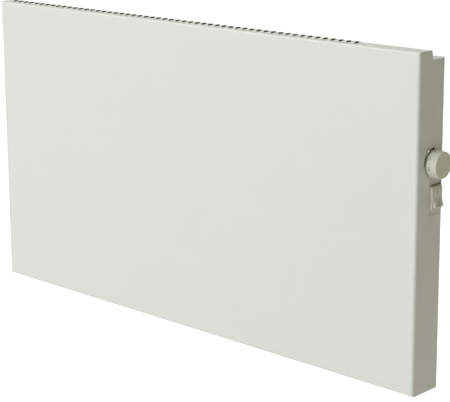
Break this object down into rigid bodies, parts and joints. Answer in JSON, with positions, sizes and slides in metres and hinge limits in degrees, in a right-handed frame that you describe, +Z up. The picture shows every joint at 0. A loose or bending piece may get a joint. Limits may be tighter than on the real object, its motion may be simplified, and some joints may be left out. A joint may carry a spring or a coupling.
{
  "type": "wall panel convector heater",
  "caption": "Slim wall-mounted panel convector heater with a louvred top, a thermostat knob and a rocker switch on its right end, on a hook-on wall bracket.",
  "frame": {"origin": "on the wall plane, at the middle of the bracket's four screw slots, which is also the middle of the casing's width and height", "axes": "+X to the right of someone who faces the heater, +Y into the wall, +Z up; the front panel faces -Y"},
  "size_m": [0.6848, 0.084, 0.3735],
  "materials": {
    "casing_paint": "fine-textured warm white powder coat on sheet steel",
    "fascia_plastic": "moulded, matched to the casing",
    "knob_plastic": "moulded, smooth",
    "switch_plastic": "moulded, satin",
    "dark_plastic": "moulded thermosetting resin",
    "block_plastic": "moulded polyamide",
    "latch_plastic": "moulded, grey",
    "galvanised": "galvanised sheet steel",
    "zinc_steel": "zinc-plated steel",
    "rod_steel": "heat-tinted stainless sheath",
    "aluminium": "extruded or drawn, bare",
    "brass": "tinned or bare brass",
    "copper": "drawn copper",
    "ceramic": "glazed insulating ceramic",
    "black_rubber": "moulded rubber",
    "lead_brown": "silicone insulation",
    "lead_blue": "silicone insulation",
    "lead_white": "silicone insulation",
    "lead_earth": "silicone insulation, green and yellow"
  },
  "bodies": {
    "bracket": {"bracket_upright_left": "galvanised", "bracket_upright_right": "galvanised", "bracket_rail_upper": "galvanised", "bracket_rail_lower": "galvanised", "bracket_rivets": "zinc_steel", "back_pads": "black_rubber", "latch_pivots": "zinc_steel"},
    "latch_left": {"latch_left": "latch_plastic"},
    "latch_right": {"latch_right": "latch_plastic"},
    "heater": {"front_casing": "casing_paint", "rear_casing": "casing_paint", "casing_screws": "zinc_steel", "control_fascia": "fascia_plastic", "thermostat_body": "dark_plastic", "thermostat_terminals": "brass", "thermostat_screws": "zinc_steel", "switch_body": "switch_plastic", "switch_terminals": "brass", "partition_plate": "galvanised", "heat_shield": "galvanised", "element_bracket": "galvanised", "element_bush_left": "ceramic", "element_bush_right": "ceramic", "heating_rod": "rod_steel", "element_fin_body": "aluminium", "element_terminals": "brass", "overheat_cutout": "ceramic", "cutout_terminals": "brass", "cutout_screws": "zinc_steel", "sensor_bulb": "copper", "bulb_clips": "galvanised", "capillary_tube": "copper", "terminal_block": "block_plastic", "earth_screw": "brass", "live_lead": "lead_brown", "neutral_lead": "lead_blue", "thermostat_lead": "lead_white", "cutout_lead": "lead_white", "element_lead": "lead_white", "return_lead": "lead_blue", "earth_lead": "lead_earth", "cable_gland": "black_rubber", "chassis_rivets": "aluminium"},
    "thermostat_dial": {"thermostat_knob": "knob_plastic", "thermostat_shaft": "zinc_steel"},
    "switch_rocker": {"switch_rocker": "switch_plastic"}
  },
  "joints": [
    {"name": "heater_lift", "type": "slide", "parent": "bracket", "child": "heater", "axis": [0, 0, 1], "range_m": [0, 0.012]},
    {"name": "latch_left_turn", "type": "hinge", "parent": "bracket", "child": "latch_left", "pos_m": [-0.2, -0.033, 0.177], "axis": [0, 0, -1], "range_deg": [-90, 0]},
    {"name": "latch_right_turn", "type": "hinge", "parent": "bracket", "child": "latch_right", "pos_m": [0.2, -0.033, 0.177], "axis": [0, 0, 1], "range_deg": [-90, 0]},
    {"name": "thermostat_turn", "type": "hinge", "parent": "heater", "child": "thermostat_dial", "pos_m": [0.34, -0.056, 0.0654], "axis": [1, 0, 0], "range_deg": [-64, 206]},
    {"name": "switch_rock", "type": "hinge", "parent": "heater", "child": "switch_rocker", "pos_m": [0.337, -0.0516, 0.0283], "axis": [0, 1, 0], "range_deg": [0, 20]}
  ]
}
